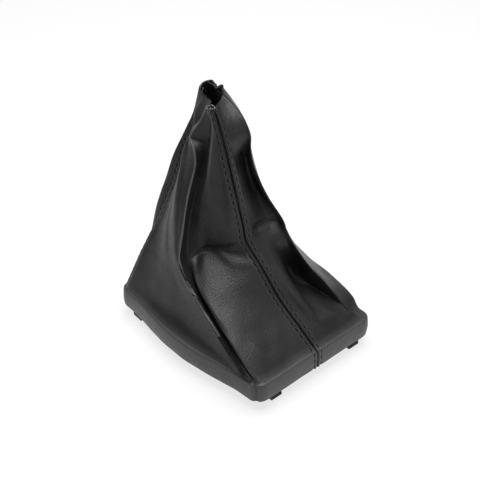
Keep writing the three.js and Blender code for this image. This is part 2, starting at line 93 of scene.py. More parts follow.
# the fold lines that the leather hangs in, each from the shoulder up to the rim through points (x, y, z),
# drawn for a base of 112 x 150, a shoulder at 21 and a rim at 170: station, roundness, points
drawnShoulder, drawnRim = 21, 170
foldLines = {
    "rearSeam": (0, 0.8, [(-1.4, -59.5, 32.5), (-3.3, -39.5, 48), (-4.8, -22.5, 67.5),
        (-5.8, -12, 77.5), (-6.2, -8, 83.5), (-6.2, -7, 89), (-6.6, -2.5, 106), (-7.2, 3.8, 127),
        (-7.7, 9.4, 146.5), (-6.8, 20.3, 171)]),
    "rib": (0.035, 1, [(-17, -58, 31.5), (-18.5, -40, 44.5), (-19.5, -22, 60.5), (-19.3, -9.5, 69),
        (-18.6, 0.8, 74.4), (-17.5, -0.8, 78), (-16.7, -2.8, 83), (-16, -3.2, 93), (-15, -1, 104),
        (-13.8, 4.5, 119), (-12.5, 9, 133), (-11.2, 13, 146), (-10, 17, 158), (-9.2, 22, 170.5)]),
    "rampRoll": (0.06, 1, [(-36, -60, 31.5), (-41, -44, 41), (-42, -27, 50), (-39, -12, 58.5),
        (-33, 0.5, 65), (-22.7, 10.4, 71.6), (-21.4, 9, 75.8), (-20.6, 7.2, 83.5), (-18.5, 9, 104),
        (-17, 13, 118), (-14.5, 15, 132), (-12, 16.8, 146), (-9.8, 19.5, 158), (-9, 24, 170.3)]),
    "rampEdge": (0.088, 1, [(-51.6, -66, 25.5), (-52, -56, 32), (-51.3, -45, 38.5), (-50.5, -33, 44),
        (-48.3, -19, 51.5), (-44.5, -4, 57.5), (-39, 6, 61.5), (-30.5, 15, 67.6), (-26.3, 16, 74),
        (-24, 16.8, 84), (-22, 18.5, 98), (-19, 20, 110), (-15.2, 20, 126), (-12.2, 20.7, 140),
        (-9.7, 21.1, 152), (-8, 22.3, 160), (-6.2, 25.3, 170)]),
    "valley": (0.105, 0.4, [(-54, -67, 23), (-53, -56, 28), (-51, -42, 34), (-47.5, -28, 40),
        (-44, -12, 46), (-40, 5.8, 55.2), (-36, 18, 66.5), (-29, 25, 84), (-22.2, 27.3, 101.5),
        (-15.2, 28.9, 115.6), (-11.2, 30.2, 121.5), (-7.6, 31.2, 128), (-4.2, 32.4, 137),
        (-2.2, 32.2, 147), (-3, 30.2, 159), (-4.4, 27.1, 169)]),
    "overlap": (0.122, 0.15, [(-57, -62, 26), (-56.5, -53, 32), (-55.7, -42.2, 37.5),
        (-54.4, -29.6, 45.5), (-52.2, -12.8, 53.6), (-48.4, 6.1, 63), (-44.9, 15.8, 72.3),
        (-37, 21, 88.7), (-25.2, 28.1, 110), (-18.9, 30.5, 120.5), (-15.6, 31.4, 127.5),
        (-13.4, 34.2, 134), (-11.4, 38.5, 138.5), (-9.2, 44, 142), (-6, 36.7, 156.5),
        (-4.4, 31.2, 169.5)]),
    "lap": (0.15, 1, [(-54.6, -46, 25), (-54.3, -38, 33), (-51.6, -12, 52), (-45.8, 16, 71),
        (-36, 28, 90), (-26.2, 36, 108), (-17.8, 41, 121), (-13, 43.5, 132), (-7.3, 46.1, 143),
        (-4.6, 44.9, 149), (-0.6, 39.9, 158), (0.8, 34.6, 170)]),
    "leftFace": (0.25, 1, [(-58, 3, 24.5), (-55, 4, 28), (-52.8, 6, 32.5), (-51, 9, 38), (-47, 19, 52),
        (-42.5, 31, 66), (-34, 41, 82), (-25.5, 45, 100), (-17, 47, 118), (-12.5, 48.5, 129),
        (-8, 49.5, 137), (-5, 47.5, 143), (-2, 47, 156), (1.5, 41.5, 170)]),
    "leftSeam": (0.4, 0.8, [(-45, 69, 36), (-38, 66, 52), (-31, 63, 66), (-23.7, 59, 82),
        (-16, 56, 100), (-9.5, 53, 118), (-5.5, 51.5, 132), (-3.5, 50, 138.5), (0, 49.5, 148),
        (1.5, 49.5, 156), (4, 48.5, 170)]),
    "frontBulge": (0.44, 1, [(-24, 71, 52), (-23, 70, 66), (-21.5, 69.2, 77), (-18, 67.7, 90),
        (-14, 65, 104), (-11.5, 61.8, 118), (-6.5, 58.5, 132), (-1, 55.5, 145), (4, 54, 156),
        (8.6, 54.2, 170.6)]),
    "frontFace": (0.5, 1, [(1, 73, 36), (2, 71, 52), (4, 69, 66), (6, 67, 82), (8, 65, 100),
        (9, 63, 118), (10, 60, 138), (12, 57, 156), (13.6, 55.2, 172)]),
    "frontLobe": (0.55, 1, [(24, 73, 36), (22, 70, 52), (21, 67, 66), (20, 64, 82), (19.5, 61.5, 100),
        (19, 59.5, 118), (18.5, 57.5, 138), (19, 55.5, 156), (19.2, 52.9, 172.2)]),
    "rightSeam": (0.6, 0.8, [(47, 69, 36), (41.5, 65, 52), (37, 61, 66), (33, 57.5, 82), (30, 54, 100),
        (28, 52, 118), (25.5, 50, 138), (21.5, 47.5, 156), (17.7, 45.5, 171.4)]),
    "rightFace": (0.75, 1, [(54, 6, 36), (48, 12, 52), (43, 18, 66), (38, 23.5, 82), (34, 28, 100),
        (31.5, 30, 118), (29, 32, 138), (25.5, 37, 156), (20.8, 44.8, 171.3)]),
    "rightBack": (0.865, 1, [(58.4, -53, 24.5), (57.6, -43, 30), (55.2, -30, 36), (51, -21.5, 41.5),
        (46.5, -14, 49), (40.8, -5.5, 60), (37.5, 2.3, 71.5), (33.2, 11.6, 89.5), (29.7, 17.5, 105),
        (28.8, 19.7, 115), (27.2, 21.2, 125.7), (24.4, 22.4, 140), (22, 26, 156), (19, 32, 165),
        (15.5, 37.5, 170.5)]),
    "rightRidge": (0.893, 0.85, [(44.2, -62.3, 25.4), (41.3, -52.8, 34), (37, -43.5, 44.5),
        (32, -36.1, 53.6), (28, -29.7, 63.5), (24.7, -22.7, 75), (22.7, -15.4, 87.6), (18.3, -4.6, 104),
        (15.2, 2.3, 117.6), (12.9, 5.8, 129.8), (12.4, 6.9, 139.7), (12.5, 6.4, 149.3), (12.8, 11, 158),
        (12.8, 18.5, 164.5), (12.7, 27, 168.5), (12.5, 34.5, 170.5)]),
    "hollowSide": (0.912, 1, [(42, -63, 27.5), (39.8, -50.5, 29.8), (37.2, -38.5, 32), (34, -28, 37),
        (31.5, -21.8, 46), (28, -20.4, 55), (25.8, -20.6, 61.5), (24, -20.8, 68), (21.2, -18.5, 76),
        (20.6, -15.5, 80), (21.6, -12, 83.5), (22.6, -9.5, 86.5), (22, -7.5, 90.5), (20.6, -3, 96),
        (19.1, 6.2, 105), (17.7, 10.9, 117.4), (15.1, 13.3, 129.4), (11.9, 10.8, 139.8),
        (10.1, 8.4, 150.8), (10, 11.5, 158), (10, 18, 164), (10.3, 26, 168), (10.3, 33, 170)]),
    "hollow": (0.93, 0.9, [(31, -64, 29.5), (25.5, -58, 32.5), (25, -44, 34), (25.5, -34, 34.6),
        (27, -25, 37), (27, -18.8, 42.5), (24, -17, 52.6), (18.5, -18.5, 66), (15.3, -18, 73.5),
        (13.8, -14.6, 78.5), (15, -11, 81.3), (16.6, -8, 83.7), (17.4, -6, 86), (16.5, -3.6, 91),
        (16.2, 3, 98.5), (15.9, 9.9, 107), (14.7, 13.7, 119.8), (11.3, 14.1, 133), (6.7, 10.1, 143),
        (4.9, 9.1, 153), (5, 12.5, 158), (5.7, 18, 163), (6.8, 24.5, 167), (7.5, 31, 170)]),
    "rampRight": (0.968, 0.9, [(12, -61, 33.5), (9.5, -50, 44.5), (8, -38, 54.5), (8, -26, 66),
        (7.3, -18.5, 74.5), (6.6, -13, 79.5), (7, -8, 84), (7.6, -5.9, 86.2), (6.8, -5.5, 89.5),
        (5, -2.8, 99), (4, 1.5, 110), (3.3, 6, 122), (1.5, 9.5, 134), (-1.5, 9, 143.5), (-3, 9.5, 150),
        (-2.5, 13, 158), (-1.5, 20, 165), (0.8, 27, 170)]),
    "seamStrip": (0.985, 1, [(5.5, -60, 33), (3, -44, 47), (1.5, -30, 60.5), (0.5, -18, 73),
        (-0.5, -11.5, 81.5), (-1.5, -9, 86), (-2, -5.5, 98), (-2.7, -2, 110), (-4, 2, 127),
        (-5, 7, 145), (-5.3, 11.5, 156), (-4, 18.5, 167), (-2.4, 22.6, 170.5)]),
}


# curve through knots: cubic pieces whose slopes mix a held slope, which can't overshoot, with a plain
# one; a roundness under 1 leans them towards the straight chords and so leaves a crease at the knot
heldShare = 0.6


def curveThrough(knots, values, at, roundness=None):
    knots, values = np.asarray(knots, float), np.asarray(values, float)
    width = np.diff(knots)[:, None]
    rise = np.diff(values, axis=0) / width
    a, b, h0, h1 = rise[:-1], rise[1:], width[:-1], width[1:]
    same = a * b > 0
    one = np.where(same, a, 1.0)
    two = np.where(same, b, 1.0)
    held = np.where(same, 3 * (h0 + h1) / ((2 * h1 + h0) / one + (h1 + 2 * h0) / two), 0)
    smooth = heldShare * held + (1 - heldShare) * (a * h0 + b * h1) / (h0 + h1)
    keep = np.ones(len(knots)) if roundness is None else np.asarray(roundness, float)
    keep = keep[1:-1, None]
    arrive = np.vstack([rise[:1], keep * smooth + (1 - keep) * a, rise[-1:]])
    leave = np.vstack([rise[:1], keep * smooth + (1 - keep) * b, rise[-1:]])
    i = np.clip(np.searchsorted(knots, at, side="right") - 1, 0, len(knots) - 2)
    w = width[i]
    s = np.clip((np.asarray(at) - knots[i])[:, None] / w, 0, 1)
    return ((2 * s**3 - 3 * s**2 + 1) * values[i] + (s**3 - 2 * s**2 + s) * w * leave[i]
            + (3 * s**2 - 2 * s**3) * values[i + 1] + (s**3 - s**2) * w * arrive[i + 1])


# skirt: straight lines from the shoulder to the rim, plus at each share of the height how far the fold
# lines stray from such lines, carried round the ring by the same curve
def skirtRing(stations, shares):
    count, inset = len(foldLines), base["shoulderInset"]
    lineStations = np.array([line[0] for line in foldLines.values()])
    rounds = np.array([line[1] for line in foldLines.values()], float)
    rise = (base["height"] - shoulderHeight) / (drawnRim - drawnShoulder)
    foot = np.column_stack([outline(lineStations, inset), np.full(count, drawnShoulder)])
    runs = [np.vstack([start, line[2]]) for start, line in zip(foot, foldLines.values())]
    for run in runs:
        run[:, 2] -= drawnShoulder
    knots = [np.append(run[:-1, 2] / (drawnRim - drawnShoulder), 1.0) for run in runs]
    lines = np.stack([curveThrough(k, run, shares) for k, run in zip(knots, runs)], 1)
    tops = np.array([run[-1] for run in runs])
    lines[..., 2] = shoulderHeight + lines[..., 2] * rise
    tops[:, 2] = shoulderHeight + tops[:, 2] * rise
    foot[:, 2] = shoulderHeight
    t = np.asarray(shares)[:, None, None]
    stray = lines - (foot * (1 - t) + tops * t)
    wrapped = np.concatenate([np.arange(count)[-3:], np.arange(count), np.arange(3)])
    places = np.concatenate([lineStations[-3:] - 1, lineStations, lineStations[:3] + 1])
    rim = curveThrough(places, tops[wrapped], stations)
    ring = np.column_stack([outline(stations, inset), np.full(len(stations), shoulderHeight)])
    strays = stray.transpose(1, 0, 2)[wrapped].reshape(len(places), -1)
    fold = curveThrough(places, strays, stations, rounds[wrapped])
    return ring * (1 - t) + rim * t + fold.reshape(len(stations), len(shares), 3).transpose(1, 0, 2)


# the whole wrap, dense round the ring: hem under the frame, band with rounded edges, skirt up to the rim
wrap = {"around": 4800, "skirtRows": 150, "bandRows": 9, "edgeRows": 4, "edgeRadius": 1.1, "bulge": 0.5,
        "soften": 5, "pull": 1.5}


# profile of the band as (inset, z): hem, a quarter round, a face that bulges by bulge*sin(pi*u) and a
# quarter of an ellipse up to the shoulder
def bandProfile(s):
    low, radius = base["clipDrop"], s["edgeRadius"]
    turn = np.linspace(0, math.pi / 2, s["edgeRows"] + 1)
    hem = [(base["hem"] + base["leather"], low), (base["hem"] / 2 + radius / 2, low)]
    corner = [(radius - radius * math.sin(a), low + radius - radius * math.cos(a)) for a in turn]
    up = np.linspace(0, 1, s["bandRows"] + 1)[1:]
    height, inset, climb = base["bandHeight"], base["shoulderInset"], base["shoulderRise"]
    face = [(-s["bulge"] * math.sin(math.pi * u), low + radius + (height - radius) * u) for u in up]
    shoulder = [(inset - inset * math.cos(a), low + height + climb * math.sin(a)) for a in turn[1:-1]]
    return hem + corner + face + shoulder


# band rows and skirt rows on one grid; the skirt is blurred round the ring by a bell that reaches soften
# columns to each side
def wholeWrap(s):
    stations = np.linspace(0, 1, s["around"] + 1)
    band = np.stack([np.column_stack([outline(stations, inset), np.full(len(stations), z)])
                     for inset, z in bandProfile(s)])
    shares = np.linspace(0, 1, s["skirtRows"])
    skirt = skirtRing(stations, shares)
    soft = np.exp(-np.linspace(-2, 2, 2 * s["soften"] + 1) ** 2)
    soft /= soft.sum()
    closed = skirt[:, :-1]
    skirt = sum(k * np.roll(closed, i - s["soften"], axis=1) for i, k in enumerate(soft))
    skirt = np.concatenate([skirt, skirt[:, :1]], 1)
    foot = outline(stations, base["shoulderInset"])
    skirt[0] = np.column_stack([foot, np.full(len(stations), shoulderHeight)])
    return stations, np.concatenate([band, skirt]), len(band)


ringStations, ringGrid, bandCount = wholeWrap(wrap)
print("stage: leather surface worked out,", ringGrid.shape)


# mesh in metres from points in millimetres, with its attributes, riding on the one body
def linkMesh(name, points, faces, material, attributes=None):
    mesh = bpy.data.meshes.new(name)
    mesh.from_pydata((np.asarray(points) * mm).tolist(), [], np.asarray(faces).tolist())
    for key, values in (attributes or {}).items():
        layer = mesh.attributes.new(key, "FLOAT", "POINT")
        layer.data.foreach_set("value", np.asarray(values, np.float32).ravel())
    mesh.shade_smooth()
    mesh.update()
    piece = bpy.data.objects.new(name, mesh)
    bpy.context.scene.collection.objects.link(piece)
    mesh.materials.append(material)
    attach(piece, "root")
    return piece


# outward normal of a grid: the step up the rows crossed with the step along them
def gridNormals(grid):
    across = np.gradient(grid, axis=1)
    up = np.gradient(grid, axis=0)
    normal = np.cross(up, across)
    return normal / (np.linalg.norm(normal, axis=-1, keepdims=True) + 1e-9)


# leather relief in mm along the normal: a rolled seam edge, dimples under the stitches, long soft waves,
# and creases, each a furrow (below 0) or a ridge (above 0) with a bell profile round a short line
relief = {"groove": 0.8, "grooveWidth": 0.45, "roll": 0.32, "rollAt": 1.7, "rollWidth": 0.9, "dimple": 0.32,
          "dimpleWidth": 0.75, "pucker": 0.2, "ripple": 0.08, "rippleWidth": 1.2, "stitchAway": 3.35,
          "pitch": 5.3, "crest": 0.35, "crestWidth": 1.1, "waves": 26, "waveHeight": 0.1, "waveLength": 26,
          "waveSpread": (0.6, 2.2), "turnedIn": 0.25, "turnedInWidth": 1.0}
creaseLines = {
    "shelfCrease": (-1.3, 2,
        [(4, -6.5, 86.5), (8, -6, 86.3), (13, -6, 86), (17.4, -6.2, 86.2), (22.5, -9.5, 87)]),
    "kneeCrease": (-1.1, 2,
        [(-31, 16, 68.5), (-26.5, 14, 71), (-22.4, 10, 73), (-18.2, 0.5, 76), (-12, -4.5, 79.5)]),
    "neckKink": (-0.8, 1.5, [(-10.2, 46, 137.6), (-7, 50, 135), (-2, 53, 133)]),
    "cornerPinch": (-1.5, 1.1,
        [(-54.3, -66, 24), (-54.6, -69.5, 21.5), (-54.6, -71.2, 17), (-54.4, -71.4, 5)]),
    "rampDent": (-0.7, 7, [(-30, -56, 30), (-34, -44, 36)]),
}


# bell profile exp(-(distance/width)^2)
def bell(distance, width):
    return np.exp(-(distance / width) ** 2)


# distance from every point to a broken line: the least over its straight pieces, whole array at a time
def awayFrom(line, points):
    line = np.asarray(line, float)
    best = np.full(points.shape[:-1], 1e9)
    for a, b in zip(line[:-1], line[1:]):
        run = b - a
        t = np.clip(((points - a) @ run) / (run @ run), 0, 1)
        best = np.minimum(best, np.linalg.norm(points - (a + t[..., None] * run), axis=-1))
    return best


# long soft waves: a sum of sines in random directions, whose length is waveLength mm over a draw from
# waveSpread
waveTurns = random.normal(size=(relief["waves"], 3))
waveTurns *= 2 * math.pi / relief["waveLength"] / np.linalg.norm(waveTurns, axis=1, keepdims=True)
waveTurns *= random.uniform(*relief["waveSpread"], (relief["waves"], 1))
waveShifts = random.uniform(0, 2 * math.pi, relief["waves"])


# height above the plain surface; beat is -1 at the middle of each stitch and +1 between two
def leatherRelief(s, points, away, along, crest):
    beat = np.cos(2 * math.pi * along / s["pitch"])
    rise = -s["groove"] * bell(away, s["grooveWidth"]) + s["roll"] * bell(away - s["rollAt"], s["rollWidth"])
    rise -= (s["dimple"] + s["pucker"] * beat) * bell(away - s["stitchAway"], s["dimpleWidth"])
    rise += s["ripple"] * beat * bell(away - s["rollAt"], s["rippleWidth"])
    rise += s["crest"] * bell(crest, s["crestWidth"])
    high = np.sin(points @ waveTurns.T + waveShifts).sum(-1) / math.sqrt(s["waves"])
    rise += s["waveHeight"] * high
    drawn = points - [0, 0, shoulderHeight - drawnShoulder]
    for depth, width, line in creaseLines.values():
        rise += depth * bell(awayFrom(line, drawn), width)
    return rise


# panels: between two seams each row is cut at fixed distances in mm from the seams beside it, and by
# shares of the way to a fold (the pin) elsewhere, so that the columns follow the seams and the fold;
# the fold's crest, a raised ridge with a painted highlight on it, fades in between two shares of the
# skirt's height, (8, 9) being nowhere, and farAway is a distance in mm at which no seam or crest shows
seamColumns = np.array([0.15, 0.32, 0.6, 0.95, 1.4, 1.9, 2.4, 2.8, 3.1, 3.35, 3.6, 3.95, 4.4, 5.1, 6.1, 7.2])
farAway = 20.0
panelPlan = {
    "leftPanel": {"node": "left_panel", "from": 0.0, "to": 0.4, "pin": 0.122, "before": 90, "after": 118,
                  "crest": (0.06, 0.14)},
    "frontPanel": {"node": "front_panel", "from": 0.4, "to": 0.6, "pin": 0.5, "before": 48, "after": 48,
                   "crest": (8, 9)},
    "rightPanel": {"node": "right_panel", "from": 0.6, "to": 1.0, "pin": 0.893, "before": 112, "after": 90,
                   "crest": (8, 9)},
}
ringNormals = gridNormals(ringGrid)


# way along a seam in mm, counted from the shoulder
def alongSeam(station):
    column = ringGrid[:, int(round(station * wrap["around"]))]
    way = np.concatenate([[0], np.cumsum(np.linalg.norm(np.diff(column, axis=0), axis=1))])
    return way - way[bandCount]


# shares of the way to the pin, closer together near it: 1 - (1 - u)^pull
def easeTo(count):
    u = np.linspace(0, 1, count + 2)[1:-1]
    return 1 - (1 - u) ** wrap["pull"]


# points, normals, and distances in mm to the nearer seam, along it and to the crest that carries a painted
# highlight
def cutPanel(p):
    first, last = int(round(p["from"] * wrap["around"])), int(round(p["to"] * wrap["around"]))
    part = slice(first, last + 1)
    s, grid, normals = ringStations[part], ringGrid[:, part], ringNormals[:, part]
    step = np.linalg.norm(np.diff(grid, axis=1), axis=-1)
    arc = np.concatenate([np.zeros((len(grid), 1)), np.cumsum(step, axis=1)], 1)
    points, outward, away, crest = [], [], [], []
    for row, lengths in enumerate(arc):
        near = np.interp(seamColumns, lengths, s)
        far = np.interp(lengths[-1] - seamColumns[::-1], lengths, s)
        before = near[-1] + (p["pin"] - near[-1]) * easeTo(p["before"])
        after = far[0] - (far[0] - p["pin"]) * easeTo(p["after"])[::-1]
        at = np.concatenate([near, before, [p["pin"]], after, far])
        points.append(np.column_stack([np.interp(at, s, grid[row, :, k]) for k in range(3)]))
        outward.append(np.column_stack([np.interp(at, s, normals[row, :, k]) for k in range(3)]))
        place = np.interp(at, s, lengths)
        away.append(np.minimum(place, lengths[-1] - place))
        crest.append(np.abs(place - np.interp(p["pin"], s, lengths)))
    points, outward, away, crest = np.array(points), np.array(outward), np.array(away), np.array(crest)
    share = (np.arange(len(points)) - bandCount) / (len(points) - bandCount)
    crest += (farAway * (1 - np.interp(share, p["crest"], [0, 1])))[:, None]
    half = points.shape[1] // 2
    along = np.repeat(alongSeam(p["from"])[:, None], points.shape[1], 1)
    along[:, half:] = alongSeam(p["to"] % 1.0)[:, None]
    outward /= np.linalg.norm(outward, axis=-1, keepdims=True)
    return points, outward, away, along, crest


# sheet between an outer and an inner grid of the same size: two skins, and the four edges between them
# in the order foot, top, first side, last side
def closedSheet(outer, inner):
    rows, columns = outer.shape[:2]
    front = np.arange(rows * columns).reshape(rows, columns)
    back = front + rows * columns
    quads = lambda g: np.stack([g[:-1, :-1], g[1:, :-1], g[1:, 1:], g[:-1, 1:]], -1).reshape(-1, 4)
    strip = lambda a, b: np.stack([a[:-1], a[1:], b[1:], b[:-1]], -1)
    skins = [quads(front), quads(back)[:, ::-1]]
    edges = [strip(front[0], back[0]), strip(front[-1, ::-1], back[-1, ::-1]),
             strip(front[::-1, 0], back[::-1, 0]), strip(front[:, -1], back[:, -1])]
    return np.concatenate([outer.reshape(-1, 3), inner.reshape(-1, 3)]), skins, edges


def joinNodes(tree, *pairs):
    for a, b in pairs:
        tree.links.new(a, b)


def addNode(tree, kind, at, **values):
    node = tree.nodes.new(kind)
    node.location = at
    for key, value in values.items():
        setattr(node, key, value)
    return node


def mathNode(tree, operation, at, a, b=0.0):
    node = addNode(tree, "ShaderNodeMath", at, operation=operation)
    for socket, value in zip(node.inputs, (a, b)):
        if isinstance(value, (int, float)):
            socket.default_value = value
        else:
            tree.links.new(value, socket)
    return node.outputs[0]


def rampNode(tree, at, source, low, high, first=0.0, second=1.0):
    node = addNode(tree, "ShaderNodeMapRange", at, interpolation_type="SMOOTHSTEP")
    tree.links.new(source, node.inputs["Value"])
    for key, value in (("From Min", low), ("From Max", high), ("To Min", first), ("To Max", second)):
        node.inputs[key].default_value = value
    return node.outputs["Result"]


# leather grain: round pebbles about 1 mm wide with furrows between them, finer wrinkles inside, and slow
# patches where the grain is pulled flat; gives the normal, a tone for the colour and the furrow mask
grain = {"pebbles": 620, "fine": 2200, "patches": 55, "depth": 0.00012, "strength": 0.6, "warpScale": 400,
         "warpDetail": 1, "warp": 0.0007, "furrow": (0.0, 0.32), "dome": -0.35, "wrinkle": 0.22,
         "taut": (0.35, 0.68, 0.45, 1.0), "toneRaised": 0.3, "tonePatch": 0.35}


def grainGroup(s):
    tree = bpy.data.node_groups.new("leatherGrain", "ShaderNodeTree")
    for name, kind in (("Normal", "Vector"), ("Tone", "Float"), ("Furrow", "Float")):
        tree.interface.new_socket(name=name, in_out="OUTPUT", socket_type="NodeSocket" + kind)
    out = addNode(tree, "NodeGroupOutput", (1100, 0))
    place = addNode(tree, "ShaderNodeTexCoord", (-900, 0)).outputs["Object"]
    warp = addNode(tree, "ShaderNodeTexNoise", (-700, -250))
    warp.inputs["Scale"].default_value = s["warpScale"]
    warp.inputs["Detail"].default_value = s["warpDetail"]
    shift = addNode(tree, "ShaderNodeVectorMath", (-500, -250), operation="MULTIPLY_ADD")
    shift.inputs[1].default_value = (s["warp"], s["warp"], s["warp"])
    pebble = addNode(tree, "ShaderNodeTexVoronoi", (-250, 150), feature="DISTANCE_TO_EDGE")
    pebble.inputs["Scale"].default_value = s["pebbles"]
    cell = addNode(tree, "ShaderNodeTexVoronoi", (-250, -150), feature="F1")
    cell.inputs["Scale"].default_value = s["pebbles"]
    fine = addNode(tree, "ShaderNodeTexNoise", (-250, -450))
    fine.inputs["Scale"].default_value = s["fine"]
    patch = addNode(tree, "ShaderNodeTexNoise", (-250, -700))
    patch.inputs["Scale"].default_value = s["patches"]
    joinNodes(tree, (place, warp.inputs["Vector"]), (warp.outputs["Color"], shift.inputs[0]),
              (place, shift.inputs[2]), (shift.outputs[0], pebble.inputs["Vector"]),
              (shift.outputs[0], cell.inputs["Vector"]), (place, fine.inputs["Vector"]),
              (place, patch.inputs["Vector"]))
    raised = rampNode(tree, (0, 150), pebble.outputs["Distance"], *s["furrow"])
    dome = mathNode(tree, "MULTIPLY", (0, -100), cell.outputs["Distance"], s["dome"])
    wrinkle = mathNode(tree, "MULTIPLY", (0, -400), fine.outputs[0], s["wrinkle"])
    taut = rampNode(tree, (0, -650), patch.outputs[0], *s["taut"])
    height = mathNode(tree, "ADD", (250, 50), mathNode(tree, "ADD", (150, 50), raised, dome), wrinkle)
    height = mathNode(tree, "MULTIPLY", (400, 50), height, taut)
    bump = addNode(tree, "ShaderNodeBump", (600, 150))
    bump.inputs["Strength"].default_value = s["strength"]
    bump.inputs["Distance"].default_value = s["depth"]
    tone = mathNode(tree, "ADD", (600, -200),
                    mathNode(tree, "MULTIPLY", (450, -200), raised, s["toneRaised"]),
                    mathNode(tree, "MULTIPLY", (450, -400), patch.outputs[0], s["tonePatch"]))
    joinNodes(tree, (height, bump.inputs["Height"]), (bump.outputs["Normal"], out.inputs["Normal"]),
              (tone, out.inputs["Tone"]),
              (mathNode(tree, "SUBTRACT", (800, -200), 1.0, raised), out.inputs["Furrow"]))
    return tree


# stitch marks on the leather, from the distance to the seam and the way along it, both in mm: two spots of
# painted shade under each stitch, which stand for its holes and their shadow where the thread pulls the
# leather in, a worn ring round them, and a line of painted shade in the seam itself
stitchLook = {"spotFromMiddle": 0.75, "spot": (0.48, 0.98), "ring": (1.0, 1.8), "seam": (0.35, 0.9)}


def stitchGroup(s, look):
    tree = bpy.data.node_groups.new("stitchShadeAndWear", "ShaderNodeTree")
    tree.interface.new_socket(name="PaintedShade", in_out="OUTPUT", socket_type="NodeSocketFloat")
    tree.interface.new_socket(name="Worn", in_out="OUTPUT", socket_type="NodeSocketFloat")
    out = addNode(tree, "NodeGroupOutput", (900, 0))
    away = addNode(tree, "ShaderNodeAttribute", (-700, 150), attribute_name="seamAway").outputs["Fac"]
    along = addNode(tree, "ShaderNodeAttribute", (-700, -150), attribute_name="seamAlong").outputs["Fac"]
    side = mathNode(tree, "SUBTRACT", (-500, 150), away, s["stitchAway"])
    beat = mathNode(tree, "PINGPONG", (-500, -150), along, s["pitch"] / 2)
    spot = mathNode(tree, "SUBTRACT", (-300, -150), beat, s["pitch"] / 2 - look["spotFromMiddle"])
    both = mathNode(tree, "ADD", (-100, 0), mathNode(tree, "MULTIPLY", (-300, 150), side, side),
                    mathNode(tree, "MULTIPLY", (-200, -150), spot, spot))
    gone = mathNode(tree, "SQRT", (50, 0), both)
    # painted shade: the spots at the stitch holes
    dark = rampNode(tree, (250, 100), gone, *look["spot"], 1.0, 0.0)
    halo = rampNode(tree, (250, -100), gone, *look["ring"], 1.0, 0.0)
    # painted shade: the line in the seam
    seam = rampNode(tree, (250, 300), away, *look["seam"], 1.0, 0.0)
    ring = mathNode(tree, "SUBTRACT", (450, -100), halo, dark)
    joinNodes(tree, (mathNode(tree, "MAXIMUM", (600, 150), dark, seam), out.inputs["PaintedShade"]),
              (mathNode(tree, "MAXIMUM", (650, -100), ring, 0.0), out.inputs["Worn"]))
    return tree


def plainMaterial(name, color, roughness):
    material = bpy.data.materials.new(name)
    material.use_nodes = True
    shader = material.node_tree.nodes["Principled BSDF"]
    shader.inputs["Base Color"].default_value = (*color, 1)
    shader.inputs["Roughness"].default_value = roughness
    material.diffuse_color = (*color, 1)
    return material, material.node_tree, shader


def mixNode(tree, at, a=None, b=None):
    node = addNode(tree, "ShaderNodeMix", at, data_type="RGBA")
    for key, color in (("A", a), ("B", b)):
        if color is not None:
            node.inputs[key].default_value = (*color, 1)
    return node


def attributeValue(tree, at, name):
    return addNode(tree, "ShaderNodeAttribute", at, attribute_name=name).outputs["Fac"]


# leather: a tone between dark and light from the grain, lighter on the band where it is stretched over the
# frame as a painted sheen, lighter on the fold's crest as a painted highlight and on the worn rings round
# the stitches, and nearly black from painted shade in the seams and the spots under the stitches
leatherLook = {"dark": (0.01, 0.01, 0.0103), "light": (0.028, 0.028, 0.0289), "roughness": (0.31, 0.44),
               "specular": 0.3, "seamShade": 0.9, "paintedBandSheen": (0.068, 0.068, 0.0697), "paintedSheenShare": 0.8,
               "wearAndHighlight": (0.1, 0.1, 0.102), "wornRing": 0.25, "crest": (0.1, 1.1, 0.9, 0.0),
               "paintedSeamShade": (0.0012, 0.0012, 0.0012)}


